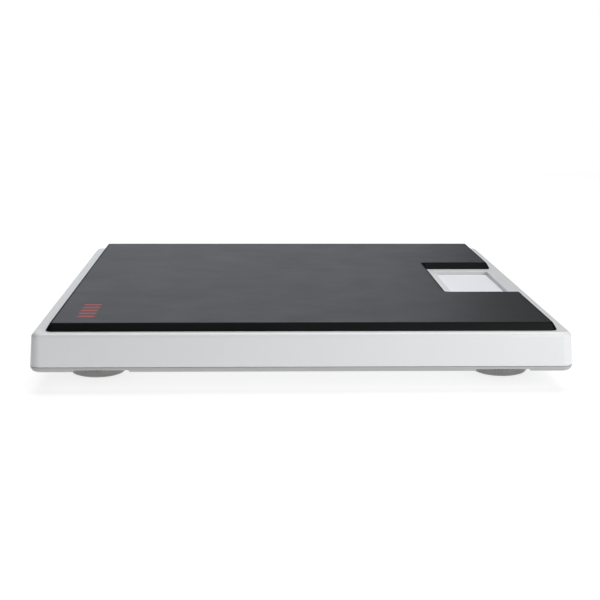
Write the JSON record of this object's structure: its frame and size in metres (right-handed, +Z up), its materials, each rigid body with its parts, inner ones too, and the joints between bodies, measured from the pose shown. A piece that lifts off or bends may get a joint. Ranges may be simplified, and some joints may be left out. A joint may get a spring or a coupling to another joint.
{
  "type": "animal weighing scale",
  "caption": "Low flat electronic floor scale with a black rubber platform mat, a white moulded housing, a sunken display window at one side and levelling feet.",
  "frame": {"origin": "on the floor, under the middle of the scale", "axes": "+X towards the side with the display, +Y along the long side away from the front, +Z up"},
  "size_m": [0.373, 0.433, 0.047],
  "materials": {
    "mat": "fine matt rubber with a soft sheen",
    "housing": "satin white moulding",
    "window": "clear gloss",
    "gasket": "matt",
    "lcd": "grey display glass, switched off",
    "holder": "natural moulding",
    "board": "green solder mask",
    "chip": "moulded package",
    "steel": "zinc plated",
    "aluminium": "milled",
    "foot_disc": "turned, satin grey",
    "foot_sole": "matt grey",
    "nickel": "nickel plated",
    "cell_wrap": "plain printed sleeve",
    "lead": "grey sleeve",
    "knob": "black"
  },
  "bodies": {
    "housing": {"base_pan": "housing", "battery_case": "holder", "battery_cell_1": "cell_wrap", "battery_cell_2": "cell_wrap", "battery_cell_3": "cell_wrap", "battery_cell_4": "cell_wrap", "battery_contact_bridge_1": "nickel", "battery_contact_bridge_2": "nickel", "battery_contact_bridge_3": "nickel", "battery_contact_minus": "nickel", "battery_contact_plus": "nickel", "battery_lead": "lead", "board_screw_1": "steel", "board_screw_2": "steel", "cell_lead_back_left": "lead", "cell_lead_back_right": "lead", "cell_lead_front_left": "lead", "cell_lead_front_right": "lead", "cell_spacer_back_left": "steel", "cell_spacer_back_right": "steel", "cell_spacer_front_left": "steel", "cell_spacer_front_right": "steel", "converter_chip": "chip", "display_window": "window", "housing_screw_1": "steel", "housing_screw_2": "steel", "housing_screw_3": "steel", "housing_screw_4": "steel", "housing_screw_5": "steel", "housing_screw_6": "steel", "lcd_holder": "holder", "lcd_panel": "lcd", "lcd_strip_left": "gasket", "lcd_strip_right": "gasket", "load_cell_back_left": "aluminium", "load_cell_back_right": "aluminium", "load_cell_front_left": "aluminium", "load_cell_front_right": "aluminium", "load_plate": "steel", "main_board": "board", "platform_mat": "mat", "processor_chip": "chip", "top_cover": "housing", "unit_switch_body": "steel", "window_gasket": "gasket"},
    "foot_front_left": {"foot_pad_front_left": "foot_sole"},
    "foot_front_left_wheel": {"foot_wheel_front_left": "foot_disc", "foot_stud_front_left": "steel"},
    "foot_front_right": {"foot_pad_front_right": "foot_sole"},
    "foot_front_right_wheel": {"foot_wheel_front_right": "foot_disc", "foot_stud_front_right": "steel"},
    "foot_back_left": {"foot_pad_back_left": "foot_sole"},
    "foot_back_left_wheel": {"foot_wheel_back_left": "foot_disc", "foot_stud_back_left": "steel"},
    "foot_back_right": {"foot_pad_back_right": "foot_sole"},
    "foot_back_right_wheel": {"foot_wheel_back_right": "foot_disc", "foot_stud_back_right": "steel"},
    "battery_door": {"battery_door": "housing"},
    "unit_switch": {"unit_switch_knob": "knob"}
  },
  "joints": [
    {"name": "foot_rise_front_left", "type": "slide", "parent": "housing", "child": "foot_front_left", "axis": [0, 0, 1], "range_m": [0, 0.004]},
    {"name": "foot_turn_front_left", "type": "hinge", "parent": "foot_front_left", "child": "foot_front_left_wheel", "pos_m": [-0.1465, -0.151, 0], "axis": [0, 0, 1], "range_deg": [0, 1152]},
    {"name": "foot_rise_front_right", "type": "slide", "parent": "housing", "child": "foot_front_right", "axis": [0, 0, 1], "range_m": [0, 0.004]},
    {"name": "foot_turn_front_right", "type": "hinge", "parent": "foot_front_right", "child": "foot_front_right_wheel", "pos_m": [0.1465, -0.151, 0], "axis": [0, 0, 1], "range_deg": [0, 1152]},
    {"name": "foot_rise_back_left", "type": "slide", "parent": "housing", "child": "foot_back_left", "axis": [0, 0, 1], "range_m": [0, 0.004]},
    {"name": "foot_turn_back_left", "type": "hinge", "parent": "foot_back_left", "child": "foot_back_left_wheel", "pos_m": [-0.1465, 0.151, 0], "axis": [0, 0, 1], "range_deg": [0, 1152]},
    {"name": "foot_rise_back_right", "type": "slide", "parent": "housing", "child": "foot_back_right", "axis": [0, 0, 1], "range_m": [0, 0.004]},
    {"name": "foot_turn_back_right", "type": "hinge", "parent": "foot_back_right", "child": "foot_back_right_wheel", "pos_m": [0.1465, 0.151, 0], "axis": [0, 0, 1], "range_deg": [0, 1152]},
    {"name": "battery_door_slide", "type": "slide", "parent": "housing", "child": "battery_door", "axis": [-1, 0, 0], "range_m": [0, 0.062]},
    {"name": "unit_switch_slide", "type": "slide", "parent": "housing", "child": "unit_switch", "axis": [0, 1, 0], "range_m": [0, 0.004]}
  ],
  "couplings": [
    {"joint": "foot_turn_front_left", "follows": "foot_rise_front_left", "rad_per_m": 5026.5},
    {"joint": "foot_turn_front_right", "follows": "foot_rise_front_right", "rad_per_m": 5026.5},
    {"joint": "foot_turn_back_left", "follows": "foot_rise_back_left", "rad_per_m": 5026.5},
    {"joint": "foot_turn_back_right", "follows": "foot_rise_back_right", "rad_per_m": 5026.5}
  ]
}
